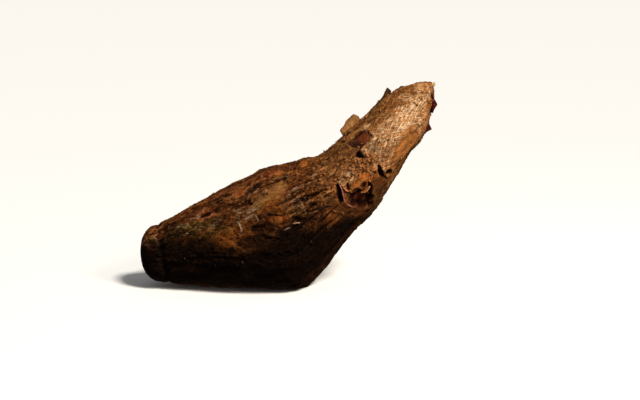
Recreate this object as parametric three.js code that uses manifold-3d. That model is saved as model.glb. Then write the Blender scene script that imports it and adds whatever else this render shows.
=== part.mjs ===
// A whole cassava root in its bark, lying on its belly with the neck raised.
// Millimetres. +X runs from the tip to the stem end, +Y to the far side and +Z up.
// The root is a row of oval slices from tip to cut. Its bark relief is a height
// over that surface, and the torn bark that stands off it is fused on.

import * as THREE from 'three';
import { mergeVertices } from 'three/addons/utils/BufferGeometryUtils.js';
import Module from 'manifold-3d';

const wasm = await Module();
wasm.setup();

// ---- the root's slices and sizes -------------------------------------------

// One slice each: back x, back z, belly x, belly z, half breadth across Y.
const slices = [
  [-120.5, 45.5, -117, 4, 19],
  [-106, 50, -98, 3, 22.5],
  [-88, 59.5, -79, 2, 28],
  [-71, 69, -60, 0.5, 33.5],
  [-53, 79.5, -42, -1.5, 38.5],
  [-36, 87, -24, -3, 42.5],
  [-21, 96, -6, -3.5, 45],
  [-8, 99, 12, -2.5, 45],
  [2, 101.2, 31, 18, 42],
  [13, 102.5, 46, 37, 37.5],
  [24, 105, 60, 53, 33],
  [36, 115, 72, 67, 29.5],
  [49, 128, 82, 82, 27],
  [62, 140, 90, 95, 25],
  [75, 151, 98, 107, 23.5],
  [88, 159, 105, 117, 21],
  [102, 162.8, 110, 129, 17],
  [113.5, 164, 112.5, 142, 12.5],
];
const rootLength = 300;         // from tip to cut, along the middle
const capShare = 0.045;         // the blunt tip's share of that length
const capBluntness = 0.75;      // 1 is half an ellipse, less is squarer
const neckLean = 7;             // how far the stem end leans to the far side
const cutYaw = 10;              // degrees that the cut faces the far side
const seamPlace = 0.064;        // the ring behind the tip's knob, a share of the length
const seamTilt = 0.006;
const seamDepth = 1.6;
const seamWidth = 4;
const peelThickness = 2.4;      // bark and cortex round the wood of the cut
const peelStep = 1.2;           // how far the wood lies below the peel there
const barkThickness = 1.1;      // torn bark that stands off the root
const rootingDepth = 1.6;       // how far its foot is sunk in

const facetsAround = 64;
const ringsInCap = 6;
const ringsAlong = 61;
const ringsInCut = 5;

// ---- helpers ----------------------------------------------------------------

const tau = Math.PI * 2;
const degree = Math.PI / 180;

function smooth(from, to, value) {
  const share = Math.min(Math.max((value - from) / (to - from), 0), 1);
  return share * share * (3 - 2 * share);
}

// ---- the smooth form ---------------------------------------------------------

const backLine = new THREE.CatmullRomCurve3(
  slices.map(([x, z]) => new THREE.Vector3(x, 0, z)), false, 'catmullrom', 0.5);
const bellyLine = new THREE.CatmullRomCurve3(
  slices.map((slice) => new THREE.Vector3(slice[2], slice[4], slice[3])),
  false, 'catmullrom', 0.5);    // its y carries the half breadth

// The slice at a share of the length: its middle and its two half axes.
function sliceAt(along) {
  const back = backLine.getPoint(along);
  const belly = bellyLine.getPoint(along);
  const breadth = belly.y;
  belly.y = 0;
  const middle = back.clone().add(belly).multiplyScalar(0.5);
  middle.y = neckLean * (smooth(0.45, 1, along) - 0.35 * smooth(0.5, 0, along));
  const rise = back.sub(belly).multiplyScalar(0.5);
  const yaw = cutYaw * degree * smooth(0.75, 1, along);
  const side = new THREE.Vector3(Math.sin(yaw), -Math.cos(yaw), 0).multiplyScalar(breadth);
  return { middle, rise, side };
}

// How far the blunt tip has opened, from 0 at its pole to 1.
function capOpening(along) {
  const left = 1 - Math.min(along / capShare, 1);
  return Math.pow(1 - left * left, 0.5 * capBluntness);
}

// ---- bark relief --------------------------------------------------------------

// Places are a share of the length and a share of a turn: 0 is the back, 0.25 the
// near side, 0.5 the belly and 0.75 the far side. Half sizes and heights are in mm,
// and slant is in degrees from lengthwise towards the belly.
const marks = [
  { along: 0.588, turn: 0.235, long: 9, wide: 2.8, height: -4.5, slant: -67 },   // slit
  { along: 0.625, turn: 0.322, long: 11, wide: 6.5, height: -5.5, slant: 58 },   // pocket
  { along: 0.642, turn: 0.262, long: 10, wide: 5, height: 2.2, slant: 20 },      // torn skin
  { along: 0.708, turn: 0.333, long: 6.5, wide: 2.4, height: -3.4, slant: 88 },  // pits
  { along: 0.728, turn: 0.360, long: 3, wide: 2.4, height: -3.2, slant: 30 },
  { along: 0.688, turn: 0.184, long: 3.6, wide: 2.6, height: -3, slant: 68 },    // small hole
  { along: 0.704, turn: 0.187, long: 2.8, wide: 2.6, height: 2.6, slant: 0 },    // its knob
  { along: 0.718, turn: 0.141, long: 11, wide: 6, height: -2.2, slant: 0 },      // bare patch
  { along: 0.710, turn: 0.080, long: 13, wide: 3, height: 1.6, slant: 0 },       // its fold
  { along: 0.826, turn: 0.340, long: 18, wide: 7, height: -1.2, slant: 0 },      // peeled
  { along: 0.365, turn: 0.130, long: 19, wide: 8, height: 1.2, slant: 8 },       // smooth
  { along: 0.300, turn: 0.760, long: 22, wide: 6, height: -2, slant: -12 },      // far side
  { along: 0.560, turn: 0.700, long: 10, wide: 6, height: -3.5, slant: 25 },
  { along: 0.790, turn: 0.800, long: 16, wide: 5, height: -1.8, slant: 5 },
];
const crackCount = 8;           // long cracks side by side on the shoulder
for (let i = 0; i < crackCount; i++) {
  marks.push({
    along: 0.485 + 0.045 * Math.sin(2.4 * i),
    turn: 0.105 + 0.027 * i,
    long: 20 + 6 * Math.sin(1.7 * i),
    wide: 2.5,
    height: -2.3,
    slant: 4 * Math.sin(3.1 * i),
  });
}
const fissureCount = 34;        // and shorter ones all over, in a spiral
for (let i = 0; i < fissureCount; i++) {
  marks.push({
    along: 0.12 + 0.84 * (i + 0.5) / fissureCount,
    turn: (0.41 + 0.618 * i) % 1,
    long: 13 + 5 * Math.sin(5.3 * i),
    wide: 2.6,
    height: i % 3 === 0 ? 1.5 : -1.9,
    slant: 9 * Math.sin(2.9 * i),
  });
}
for (const mark of marks) {
  const { rise, side } = sliceAt(mark.along);
  mark.radius = (rise.length() + side.length()) / 2;
}

function markHeight(mark, along, turn) {
  const way = turn - mark.turn;
  const x = (along - mark.along) * rootLength;
  const y = (way - Math.round(way)) * tau * mark.radius;
  const across = Math.cos(mark.slant * degree);
  const down = Math.sin(mark.slant * degree);
  const reach = Math.hypot((x * across + y * down) / mark.long, (y * across - x * down) / mark.wide);
  return mark.height * smooth(1.25, 0.45, reach);
}

// Height over the smooth form: ribs, slow lumps, the tip's seam and the marks.
function relief(along, turn) {
  const drift = 0.25 * Math.sin(tau * 1.7 * along + 1);
  const ribs = 0.6 * Math.sin(tau * (9 * turn + drift))
    + 0.45 * Math.sin(tau * (14 * turn - 2 * drift) + 4 * along)
    + 0.4 * Math.sin(tau * (19 * turn + drift) - 9 * along);
  const lumps = 0.7 * Math.sin(tau * (2 * turn + 2.3 * along))
    + 0.5 * Math.sin(tau * (3 * turn - 3.6 * along) + 2)
    + 0.35 * Math.sin(tau * (turn + 7.5 * along) + 1);
  const fromSeam = Math.abs(along - seamPlace - seamTilt * Math.sin(tau * turn)) * rootLength;
  let height = (ribs + lumps) * smooth(0, 0.12, along);
  height -= seamDepth * smooth(seamWidth, 0, fromSeam);
  for (const mark of marks) {
    height += markHeight(mark, along, turn);
  }
  return height;
}

// ---- the surface ---------------------------------------------------------------

function onRoot(along, turn, lift = 0) {
  const { middle, rise, side } = sliceAt(along);
  const angle = tau * turn;
  const spoke = rise.multiplyScalar(Math.cos(angle)).add(side.multiplyScalar(Math.sin(angle)));
  const outward = spoke.clone().normalize();
  const height = relief(along, turn) * capOpening(along) + lift;
  return middle.addScaledVector(spoke, capOpening(along)).addScaledVector(outward, height);
}

// The rough cut across the stem end: a rim of peel round torn wood, a little lower.
function onCut(share, turn) {
  const { middle, rise, side } = sliceAt(1);
  const facing = rise.clone().cross(side).normalize();
  const depth = peelStep * smooth(0, peelThickness / side.length(), 1 - share);
  const splinters = Math.sin(tau * 5 * turn + 7 * share) + Math.sin(tau * 3 * turn - 11 * share);
  const height = 0.5 * splinters * smooth(1, 0.7, share) * smooth(0, 0.3, share) - depth;
  return onRoot(1, turn).sub(middle).multiplyScalar(share).add(middle)
    .addScaledVector(facing, height);
}

function rootGeometry() {
  const points = [sliceAt(0).middle];
  const addRing = (place, at) => {
    for (let j = 0; j < facetsAround; j++) {
      points.push(place(at, j / facetsAround));
    }
  };
  for (let i = 1; i <= ringsInCap; i++) {
    addRing(onRoot, capShare * (1 - Math.cos(i / ringsInCap * Math.PI / 2)));
  }
  for (let i = 1; i <= ringsAlong; i++) {
    addRing(onRoot, capShare + (1 - capShare) * i / ringsAlong);
  }
  for (let i = ringsInCut - 1; i > 0; i--) {
    addRing(onCut, i / ringsInCut);
  }
  points.push(onCut(0, 0));
  for (const point of points) {
    point.z = Math.max(point.z, 0);   // the belly rests flat
  }
  return closedGrid(points, facetsAround);
}

// A closed body from a pole, rings of points and a second pole.
function closedGrid(points, around) {
  const rings = (points.length - 2) / around;
  const last = points.length - 1;
  const lastRing = 1 + (rings - 1) * around;
  const triangles = [];
  for (let j = 0; j < around; j++) {
    const next = (j + 1) % around;
    triangles.push(0, 1 + next, 1 + j);
    for (let i = 0; i < rings - 1; i++) {
      const a = 1 + i * around + j;
      const b = 1 + i * around + next;
      triangles.push(a, b + around, a + around);
      triangles.push(a, b, b + around);
    }
    triangles.push(lastRing + j, lastRing + next, last);
  }
  return meshOf(points, triangles);
}

function meshOf(points, triangles) {
  const geometry = new THREE.BufferGeometry();
  const places = new Float32Array(points.flatMap((point) => point.toArray()));
  geometry.setAttribute('position', new THREE.BufferAttribute(places, 3));
  geometry.setIndex(triangles);
  return geometry;
}

// ---- torn bark -------------------------------------------------------------------

// Tongues of bark hinged on the root. hinge and reach are the breadth and length in
// mm. slant turns the hinge from lengthwise towards the belly, lift is the angle at
// which the tongue leaves the root, curl is how much further it bends on its way,
// shear slides its free edge along the hinge and taper narrows that edge. The tongue
// has its full reach from rise to fall, shares of the hinge, and ends times that at
// the hinge's ends.
const tongues = [
  { along: 0.708, turn: -0.008, hinge: 19, reach: 8.5, lift: 95, curl: -15, shear: 1, taper: 0.1,
    rise: 0.75, fall: 0.9, ends: 0.35 },
  { along: 0.829, turn: -0.008, hinge: 10, reach: 5.5, lift: 85, curl: 5, shear: 3, taper: 0.1,
    rise: 0.8, fall: 0.9, ends: 0.25 },
  { along: 0.890, turn: -0.020, hinge: 6, reach: 1.4, lift: 60, curl: 20, taper: 0.3, ends: 0.3 },
  { along: 0.984, turn: 0.285, hinge: 15, reach: 4.6, lift: 8, curl: -12, slant: 140, taper: 0.3,
    rise: 0.6, fall: 0.65, ends: 0.15 },
  { along: 0.925, turn: 0.414, hinge: 9, reach: 3.8, lift: 85, curl: -25, shear: 1, taper: 0.3,
    rise: 0.45, fall: 0.55, ends: 0.15 },
  { along: 0.623, turn: 0.280, hinge: 9, reach: 2.4, lift: 30, curl: -30, slant: 235, taper: 0.3 },
  { along: 0.650, turn: 0.302, hinge: 9, reach: 2.4, lift: 35, curl: -30, slant: 185, taper: 0.3 },
  { along: 0.603, turn: 0.262, hinge: 12, reach: 3, lift: 80, curl: 60, slant: -67, taper: 0.4 },
  { along: 0.441, turn: 0.216, hinge: 6, reach: 3, lift: 50, curl: 70, slant: 15, taper: 0.3 },
  { along: 0.340, turn: 0.800, hinge: 9, reach: 6, lift: 45, curl: 40, slant: 15, taper: 0.4 },
  { along: 0.580, turn: 0.730, hinge: 8, reach: 5, lift: 55, curl: -30, slant: 200, taper: 0.5 },
  { along: 0.830, turn: 0.850, hinge: 6, reach: 8, lift: 30, curl: 20, slant: 90, taper: 0.4 },
];
const columnsInTongue = 5;
const rowsInTongue = 3;

function tongueGeometry({ along, turn, hinge, reach, lift, curl, slant = 0, shear = 0, taper,
  rise = 0.35, fall = 0.65, ends = 0.55 }) {
  const step = 0.004;
  const foot = onRoot(along, turn);
  const lengthwise = onRoot(along + step, turn).sub(onRoot(along - step, turn)).normalize();
  const downwards = onRoot(along, turn + step).sub(onRoot(along, turn - step));
  const outward = downwards.clone().cross(lengthwise).normalize();
  downwards.copy(lengthwise).cross(outward);
  const hingeWay = lengthwise.multiplyScalar(Math.cos(slant * degree))
    .addScaledVector(downwards, Math.sin(slant * degree));
  const growth = outward.clone().cross(hingeWay);
  const heading = (angle) => growth.clone().multiplyScalar(Math.cos(angle * degree))
    .addScaledVector(outward, Math.sin(angle * degree));

  const front = [];
  const rear = [];
  for (let i = 0; i <= columnsInTongue; i++) {
    const u = i / columnsInTongue;
    const full = Math.min(1, u / rise, (1 - u) / (1 - fall));
    const wave = 0.12 * Math.sin(5 * Math.PI * u + along);
    const ragged = ends * (1 + wave) + (1 - ends) * full;
    const spot = foot.clone().addScaledVector(outward, -rootingDepth);
    for (let j = -1; j <= rowsInTongue; j++) {
      const v = Math.max(j / rowsInTongue, 0);
      const angle = j < 0 ? 90 : lift + curl * v;
      if (j === 0) {
        spot.copy(foot);
      } else if (j > 0) {
        spot.addScaledVector(heading(angle), reach * ragged / rowsInTongue);
      }
      const slide = (u - 0.5) * hinge * (1 - taper * v * v) + shear * v;
      const place = spot.clone().addScaledVector(hingeWay, slide);
      const half = heading(angle + 90).multiplyScalar(barkThickness / 2);
      front.push(place.clone().add(half));
      rear.push(place.sub(half));
    }
  }
  return slab(front, rear, columnsInTongue + 1, rowsInTongue + 2);
}

// A closed sheet from its front and rear points, in columns of rows.
function slab(front, rear, columns, rows) {
  const triangles = [];
  const under = front.length;
  const quad = (a, b, c, d) => triangles.push(a, b, c, a, c, d);
  for (let i = 0; i < columns - 1; i++) {
    for (let j = 0; j < rows - 1; j++) {
      const a = i * rows + j;
      quad(a, a + rows, a + rows + 1, a + 1);
      quad(under + a, under + a + 1, under + a + rows + 1, under + a + rows);
    }
    const foot = i * rows;
    const edge = foot + rows - 1;
    quad(foot, under + foot, under + foot + rows, foot + rows);
    quad(edge, edge + rows, under + edge + rows, under + edge);
  }
  for (let j = 0; j < rows - 1; j++) {
    const far = (columns - 1) * rows + j;
    quad(j, j + 1, under + j + 1, under + j);
    quad(far, under + far, under + far + 1, far + 1);
  }
  return meshOf([...front, ...rear], triangles);
}

// ---- stubs of rootlets and splinters ------------------------------------------------

const stubs = [
  { along: 0.992, turn: 0.060, length: 2, radius: 0.9, lean: 1.6 },   // splinter of the cut
  { along: 0.994, turn: 0.100, length: 2.4, radius: 0.8, lean: 0.9 },
];
const rootletCount = 16;
for (let i = 0; i < rootletCount; i++) {
  stubs.push({
    along: 0.1 + 0.78 * (i + 0.5) / rootletCount,
    turn: 0.31 * Math.sin(1 + 2.4 * i),
    length: 1.8 + 0.8 * Math.sin(4.1 * i),
    radius: 0.8,
    lean: 0.5 * Math.sin(2.3 * i),
  });
}

// A blunt spike standing on the root and leaning towards the stem end.
function stubGeometry({ along, turn, length, radius, lean }) {
  const foot = onRoot(along, turn, -rootingDepth);
  const head = onRoot(along, turn, length);
  head.x += lean * length;
  const axis = head.sub(foot);
  const spike = new THREE.CylinderGeometry(0.45 * radius, radius, axis.length(), 6);
  spike.translate(0, axis.length() / 2, 0);
  spike.applyQuaternion(new THREE.Quaternion().setFromUnitVectors(
    new THREE.Vector3(0, 1, 0), axis.clone().normalize()));
  return spike.translate(foot.x, foot.y, foot.z);
}

// ---- one body ------------------------------------------------------------------------

function solid(geometry) {
  const bare = geometry.clone();
  bare.deleteAttribute('normal');
  bare.deleteAttribute('uv');
  const merged = mergeVertices(bare);
  return new wasm.Manifold(new wasm.Mesh({
    numProp: 3,
    vertProperties: new Float32Array(merged.attributes.position.array),
    triVerts: new Uint32Array(merged.index.array),
  }));
}

function geometryOf(body) {
  const { vertProperties, triVerts } = body.getMesh();
  const geometry = new THREE.BufferGeometry();
  geometry.setAttribute('position', new THREE.BufferAttribute(vertProperties, 3));
  geometry.setIndex(new THREE.BufferAttribute(triVerts, 1));
  geometry.computeVertexNormals();
  return geometry;
}

let body = solid(rootGeometry());
for (const piece of [...tongues.map(tongueGeometry), ...stubs.map(stubGeometry)]) {
  body = body.add(solid(piece));
}

const bark = new THREE.MeshStandardMaterial({ color: 0x6e4626, roughness: 0.85, metalness: 0 });
const root = new THREE.Mesh(geometryOf(body), bark);
root.name = 'cassava_root';

const cassava = new THREE.Group();
cassava.add(root);

export default cassava;
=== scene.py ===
import itertools
import math

import bpy
import numpy as np
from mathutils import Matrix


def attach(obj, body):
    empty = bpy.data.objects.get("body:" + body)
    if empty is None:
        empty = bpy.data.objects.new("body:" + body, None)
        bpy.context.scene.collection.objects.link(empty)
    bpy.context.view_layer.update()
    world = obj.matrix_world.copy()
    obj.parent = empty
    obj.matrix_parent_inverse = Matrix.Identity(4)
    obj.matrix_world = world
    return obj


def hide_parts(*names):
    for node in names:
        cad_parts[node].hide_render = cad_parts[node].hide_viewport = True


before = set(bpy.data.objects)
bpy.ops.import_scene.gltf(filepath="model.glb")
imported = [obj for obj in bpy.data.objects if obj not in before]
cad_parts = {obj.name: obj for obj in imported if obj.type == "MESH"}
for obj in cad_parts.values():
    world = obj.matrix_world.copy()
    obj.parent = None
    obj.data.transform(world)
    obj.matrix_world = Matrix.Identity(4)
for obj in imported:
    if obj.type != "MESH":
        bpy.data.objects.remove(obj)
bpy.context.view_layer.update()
mm = 0.001
tau = 2 * math.pi

cameraSettings = {
    "target": (25.2, 0, 69.9),  # mm, the point in the middle of the view
    "elevation": 12,            # degrees above the table
    "distance": 1138,           # mm
    "lens": 80, "sensor": 36,   # mm
    "farthest": 60,             # m, past the far edge of the floor
}


def addObject(name, data):
    added = bpy.data.objects.new(name, data)
    bpy.context.scene.collection.objects.link(added)
    return added


def makeCamera(use):
    # the distance from the target, on the near side, raised by the elevation
    angle = math.radians(use["elevation"])
    camera = addObject("camera", bpy.data.cameras.new("camera"))
    camera.data.lens = use["lens"]
    camera.data.sensor_width = use["sensor"]
    camera.data.clip_end = use["farthest"]
    way = np.array([0, -math.cos(angle), math.sin(angle)])
    camera.location = (np.array(use["target"]) + use["distance"] * way) * mm
    camera.rotation_euler = (math.pi / 2 - angle, 0, 0)
    bpy.context.scene.camera = camera


makeCamera(cameraSettings)
print("camera placed")


def readTable(rows, places, usual=()):
    # rows as an array: short ones end as the usual row does, and the first columns, which
    # are thousandths of the length or of a turn, become shares
    table = np.array([row + usual[len(row):] for row in rows], float)
    table[:, :places] /= 1000
    return table


def joined(*parts):
    # numbers and grids spread to one shape and put side by side, as coordinates
    return np.stack(np.broadcast_arrays(*parts), -1)


def unit(vectors):
    return vectors / np.linalg.norm(vectors, axis=-1, keepdims=True)


def smooth(low, high, value):
    # 0 at low, 1 at high and an S-curve between; low may be the larger of the two
    share = np.clip((value - low) / (high - low), 0, 1)
    return share * share * (3 - 2 * share)


def cellValue(cell, seed):
    # a fixed number from -1 to 1 for each whole-numbered cell, mixed from its coordinates
    mixed = np.bitwise_xor.reduce(cell * (73856093, 19349663, 83492791), axis=-1)
    mixed = (mixed ^ (seed * 40503 + 977)) & 0xffffffff
    for shift, factor in ((13, 1274126177), (16, 1103515245)):
        mixed = ((mixed ^ (mixed >> shift)) * factor) & 0xffffffff
    return ((mixed >> 8) & 0xffff) / 32767.5 - 1


def noise(points, seed):
    # cell values blended between the eight corners round each point
    cell = np.floor(points).astype(np.int64)
    part = points - cell
    part = part * part * (3 - 2 * part)
    total = np.zeros(points.shape[:-1])
    for corner in itertools.product((0, 1), repeat=3):
        corner = np.array(corner)
        weight = np.prod(np.where(corner, part, 1 - part), axis=-1)
        total += weight * cellValue(cell + corner, seed)
    return total


def scaled(points, size):
    # coordinates in which a pattern of that size, across and along, is one unit
    return points / (size[0], size[0], size[1])


def layered(points, size, layers, seed):
    # noise of that size, at twice the fineness and half the height in each further layer
    points = scaled(points, size)
    total = 0
    for layer in range(layers):
        total = total + noise(points * 2 ** layer + 17.3 * layer, seed + layer) / 2 ** layer
    return total


# The root's smooth form, in mm. "along" runs from the tip to the cut and "turn" once round:
# 0 is the back, 0.25 the near side, 0.5 the belly and 0.75 the far side.
rootForm = {
    # each slice: back x, back z, belly x, belly z, half breadth across Y
    "slices": [
        (-120.5, 45.5, -117, 4, 19), (-106, 50, -98, 3, 22.5), (-88, 59.5, -79, 2, 28),
        (-71, 69, -60, 0.5, 33.5), (-53, 79.5, -42, -1.5, 38.5), (-36, 87, -24, -3, 42.5),
        (-21, 96, -6, -3.5, 45), (-8, 99, 12, -2.5, 45), (2, 101.2, 31, 18, 42),
        (13, 102.5, 46, 37, 37.5), (24, 105, 60, 53, 33), (36, 115, 72, 67, 29.5),
        (49, 128, 82, 82, 27), (62, 140, 90, 95, 25), (75, 151, 98, 107, 23.5),
        (88, 159, 105, 117, 21), (102, 162.8, 110, 129, 17), (113.5, 164, 112.5, 142, 12.5),
    ],
    "length": 300,        # mm from tip to cut
    "capShare": 0.045, "capBluntness": 0.75,  # the blunt tip, as a share of that length
    "neckLean": 7,        # mm that the stem end leans to the far side
    "cutYaw": 10,         # degrees that the cut faces the far side
    "seamPlace": 0.064, "seamTilt": 0.006,    # the ring behind the tip's knob
    "seamDepth": 1.6, "seamWidth": 4,         # mm
    "peelThickness": 2.4, "peelStep": 1.2,    # mm, and down from it to the wood of the cut
}
rootSlices = np.array(rootForm["slices"])
rootLength = rootForm["length"]


def rail(columns, along):
    # a Catmull-Rom curve through the slices' columns, at shares of the length
    knots = rootSlices[:, columns]
    knots = np.vstack([2 * knots[0] - knots[1], knots, 2 * knots[-1] - knots[-2]])
    at = along * (len(rootSlices) - 1)
    low = np.clip(at.astype(int), 0, len(rootSlices) - 2)
    part = (at - low)[..., None]
    before, start, end, after = (knots[low + step] for step in range(4))
    leave, arrive = (end - before) / 2, (after - start) / 2
    bend = -3 * start + 3 * end - 2 * leave - arrive
    twist = 2 * start - 2 * end + leave + arrive
    return start + part * (leave + part * (bend + part * twist))


def sliceAt(along):
    # the slice's middle and its two half axes: one to the back, one to the near side
    back, belly = rail([0, 1], along), rail([2, 3], along)
    breadth = rail([4], along)[..., 0]
    middle, half = (back + belly) / 2, (back - belly) / 2
    sway = rootForm["neckLean"] * (smooth(0.45, 1, along) - 0.35 * smooth(0.5, 0, along))
    yaw = math.radians(rootForm["cutYaw"]) * smooth(0.75, 1, along)
    middle = joined(middle[..., 0], sway, middle[..., 1])
    rise = joined(half[..., 0], 0, half[..., 1])
    return middle, rise, joined(np.sin(yaw), -np.cos(yaw), 0) * breadth[..., None]


def capOpening(along):
    # how far the blunt tip has opened: a squared-off half ellipse over its share
    left = 1 - np.minimum(along / rootForm["capShare"], 1)
    return (1 - left * left) ** (rootForm["capBluntness"] / 2)


def radiusAt(along):
    _, rise, side = sliceAt(along)
    return (np.linalg.norm(rise, axis=-1) + np.linalg.norm(side, axis=-1)) / 2


def straightened(along, turn):
    # the place on a straight round root: patterns drawn there follow the real one's bend
    angle = tau * turn
    radius = radiusAt(along) * capOpening(along)
    return joined(radius * np.cos(angle), radius * np.sin(angle), rootLength * along)


# Dents, lumps and torn spots: thousandths of the length and of a turn, half length, half
# width and height in mm, slant in degrees towards the belly, and the share of its radius
# with the full height: 0.45 is a dent and 0.8 a torn hole.
marks = readTable([
    (588, 235, 9, 2.8, -4.5, -67, 0.8),     # slit
    (617, 243, 3.6, 1.3, -2.4, -67, 0.7),   # a second one beside it
    (625, 322, 11, 6.5, -5.5, 58, 0.85),    # pocket
    (660, 324, 6, 1.7, -4.5, -58, 0.8),     # the crack out of it
    (642, 262, 10, 5, 2.2, 20, 0.6),        # torn skin
    (652, 285, 2.8, 2.2, -3.2, 0, 0.7),     # hole in it
    (708, 333, 6.5, 2, -3.4, 88, 0.8),      # pits
    (728, 360, 2.8, 2, -3, 30, 0.8), (714, 300, 2.4, 1.5, -2.8, 90, 0.7),
    (695, 297, 1.8, 1.4, -2, 0, 0.6),
    (689, 184, 4.2, 2.2, -3.2, 68, 0.75),   # small hole
    (704, 187, 2.8, 2.6, 2.4, 0, 0.5),      # its knob
    (713, 84, 12, 3.6, 1.5, 12, 0.7),       # the fold over the bare patch
    (826, 340, 18, 7, -1.2, 0, 0.45), (365, 130, 19, 8, 1.2, 8, 0.45),
    (300, 760, 22, 6, -2, -12, 0.45), (560, 700, 10, 6, -3.5, 25, 0.7),
    (790, 800, 16, 5, -1.8, 5, 0.45),
], 2)
# where the bark came off whole: the patch's corners, in thousandths as well
patchCorners = readTable([(679, 104), (725, 107), (741, 120), (747, 160), (730, 177), (700, 164),
                          (686, 140)], 2)
patchDepth = 0.9  # mm
# each crack: shares of the length and of a turn, half length, half width, height and slant
cracks = []
for i in range(8):  # long ones side by side on the shoulder
    cracks.append((0.485 + 0.045 * math.sin(2.4 * i), 0.105 + 0.027 * i,
                   20 + 6 * math.sin(1.7 * i), 1.25, -2.3, 4 * math.sin(3.1 * i)))
for i in range(34):  # and shorter cracks and ribs all over, in a spiral
    cracks.append((0.12 + 0.84 * (i + 0.5) / 34, (0.41 + 0.618 * i) % 1, 13 + 5 * math.sin(5.3 * i),
                   1.3, 1.5 if i % 3 == 0 else -1.9, 9 * math.sin(2.9 * i)))

# Lines on the bark: start and end in thousandths of the length and of a turn, bow and half
# width in mm, and strength. Dark ones are cracks.
darkLines = readTable([
    (405, 95, 481, 87, 0.4, 0.8, 1), (500, 143, 554, 147, 0, 0.7, 0.9), (471, 173, 532, 183, 0.2, 0.9, 1),
    (494, 201, 510, 213, 0, 1.5, 0.9), (475, 216, 541, 246, 0.3, 0.8, 0.9),
    (359, 183, 411, 187, -0.3, 0.8, 0.9), (311, 200, 345, 209, 0, 0.9, 0.9),
    (309, 120, 314, 136, 0, 1.2, 0.9), (343, 101, 408, 95, 0, 0.7, 0.8),
    (444, 148, 501, 152, 0, 0.7, 0.9), (448, 176, 492, 183, 0, 0.7, 0.8),
    (433, 205, 453, 223, 0, 1.2, 0.9), (507, 273, 564, 270, 0.5, 0.7, 0.7),
    (517, 322, 582, 321, 0.5, 0.8, 0.6), (242, 65, 264, 64, 0, 0.8, 0.6), (185, 106, 199, 106, 0, 2, 0.9),
    (683, 101, 737, 114, 0, 0.7, 0.9), (742, 124, 746, 172, 0, 0.7, 0.6),
    (430, 193, 452, 197, 0.2, 0.6, 0.7), (455, 120, 500, 118, 0.3, 0.6, 0.7),
    (520, 200, 560, 215, 0.2, 0.6, 0.6), (345, 240, 380, 245, 0.3, 0.7, 0.7),
    (686, 30, 742, 50, 0, 0.8, 0.9), (462, 156, 490, 160, 0.2, 0.6, 0.8),
    (480, 830, 560, 850, 0.5, 0.9, 0.9), (380, 790, 450, 800, -0.4, 0.8, 0.8),
], 4)
paleLines = readTable([
    (313, 125, 368, 120, 0.3, 0.6, 0.6), (319, 137, 349, 137, 0, 0.5, 0.4),
    (304, 155, 327, 156, 0.3, 1, 0.9), (291, 172, 318, 169, -0.4, 0.7, 0.9),
    (322, 173, 329, 190, 0.2, 0.6, 0.7), (274, 176, 281, 206, 0.9, 0.7, 1),
    (442, 141, 527, 141, 0.3, 0.5, 0.6), (444, 165, 473, 167, 0, 0.6, 0.7),
    (412, 159, 450, 166, 0.3, 0.5, 0.4), (423, 181, 460, 188, 0.3, 0.5, 0.5),
    (468, 179, 475, 204, 0, 0.5, 0.7), (472, 207, 475, 218, 0, 0.6, 0.7),
    (498, 229, 542, 243, 0.3, 0.5, 0.6), (534, 130, 554, 113, 0, 0.6, 0.6),
    (409, 152, 427, 146, 0, 0.5, 0.5), (400, 225, 419, 224, 0.3, 0.7, 0.6),
    (400, 80, 449, 85, 0.8, 0.5, 0.5), (150, 99, 178, 112, 0.2, 0.6, 0.6),
    (171, 95, 178, 92, 0, 0.8, 0.8), (174, 78, 188, 75, 0, 0.6, 0.5), (112, 123, 122, 117, 0, 0.8, 0.6),
    (14, 121, 20, 109, 0, 1, 0.8), (25, 147, 35, 157, 0, 0.9, 0.9), (54, 113, 59, 135, 0, 0.7, 0.6),
    (872, 206, 906, 186, 0, 0.9, 1), (747, 275, 786, 266, 0.3, 0.6, 0.6),
    (810, 245, 848, 230, 0.3, 0.6, 0.7), (360, 860, 420, 850, 0.8, 0.6, 0.7),
    (250, 820, 280, 800, -1, 0.8, 0.7), (500, 780, 550, 790, 0.6, 0.6, 0.6),
], 4)
# skin with no cracks in it low on the neck, and two spots by the scar, bare of flakes
peeledSpot = np.array([0.835, 0.325, 24, 12, 0])
flayedSpots = np.array([(0.684, 0.350, 11, 8, 0), (0.655, 0.268, 9, 6, 0)])


def reachTo(place, along, turn):
    # distance from a mark's middle, 1 at its half length or half width, along its slant
    atAlong, atTurn, halfLong, halfWide, slant = place
    way = turn - atTurn
    x = (along - atAlong) * rootLength
    y = (way - np.round(way)) * tau * radiusAt(atAlong)
    c, s = math.cos(math.radians(slant)), math.sin(math.radians(slant))
    return np.hypot((x * c + y * s) / halfLong, (y * c - x * s) / halfWide)


def dug(along, turn, ragged=0):
    # the marks' heights added up; ragged, from -1 to 1, pushes their edges in and out
    height = 0 * along
    for *place, deep, slant, inner in marks:
        reach = reachTo((*place, slant), along, turn)
        height = height + deep * smooth(1.25, inner, reach + 0.3 * ragged)
    return height


def outsidePatch(along, turn):
    # mm out of the patch, below 0 inside: the greatest distance past its clockwise edges
    around = tau * radiusAt(patchCorners[0, 0])
    corners = patchCorners * (rootLength, around)
    x, y = along * rootLength, turn % 1 * around
    outside = -99 + 0 * along
    for (fromX, fromY), (toX, toY) in zip(corners, np.roll(corners, -1, 0)):
        edge = math.hypot(toX - fromX, toY - fromY)
        past = ((x - fromX) * (toY - fromY) - (y - fromY) * (toX - fromX)) / edge
        outside = np.maximum(outside, past)
    return outside


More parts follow.
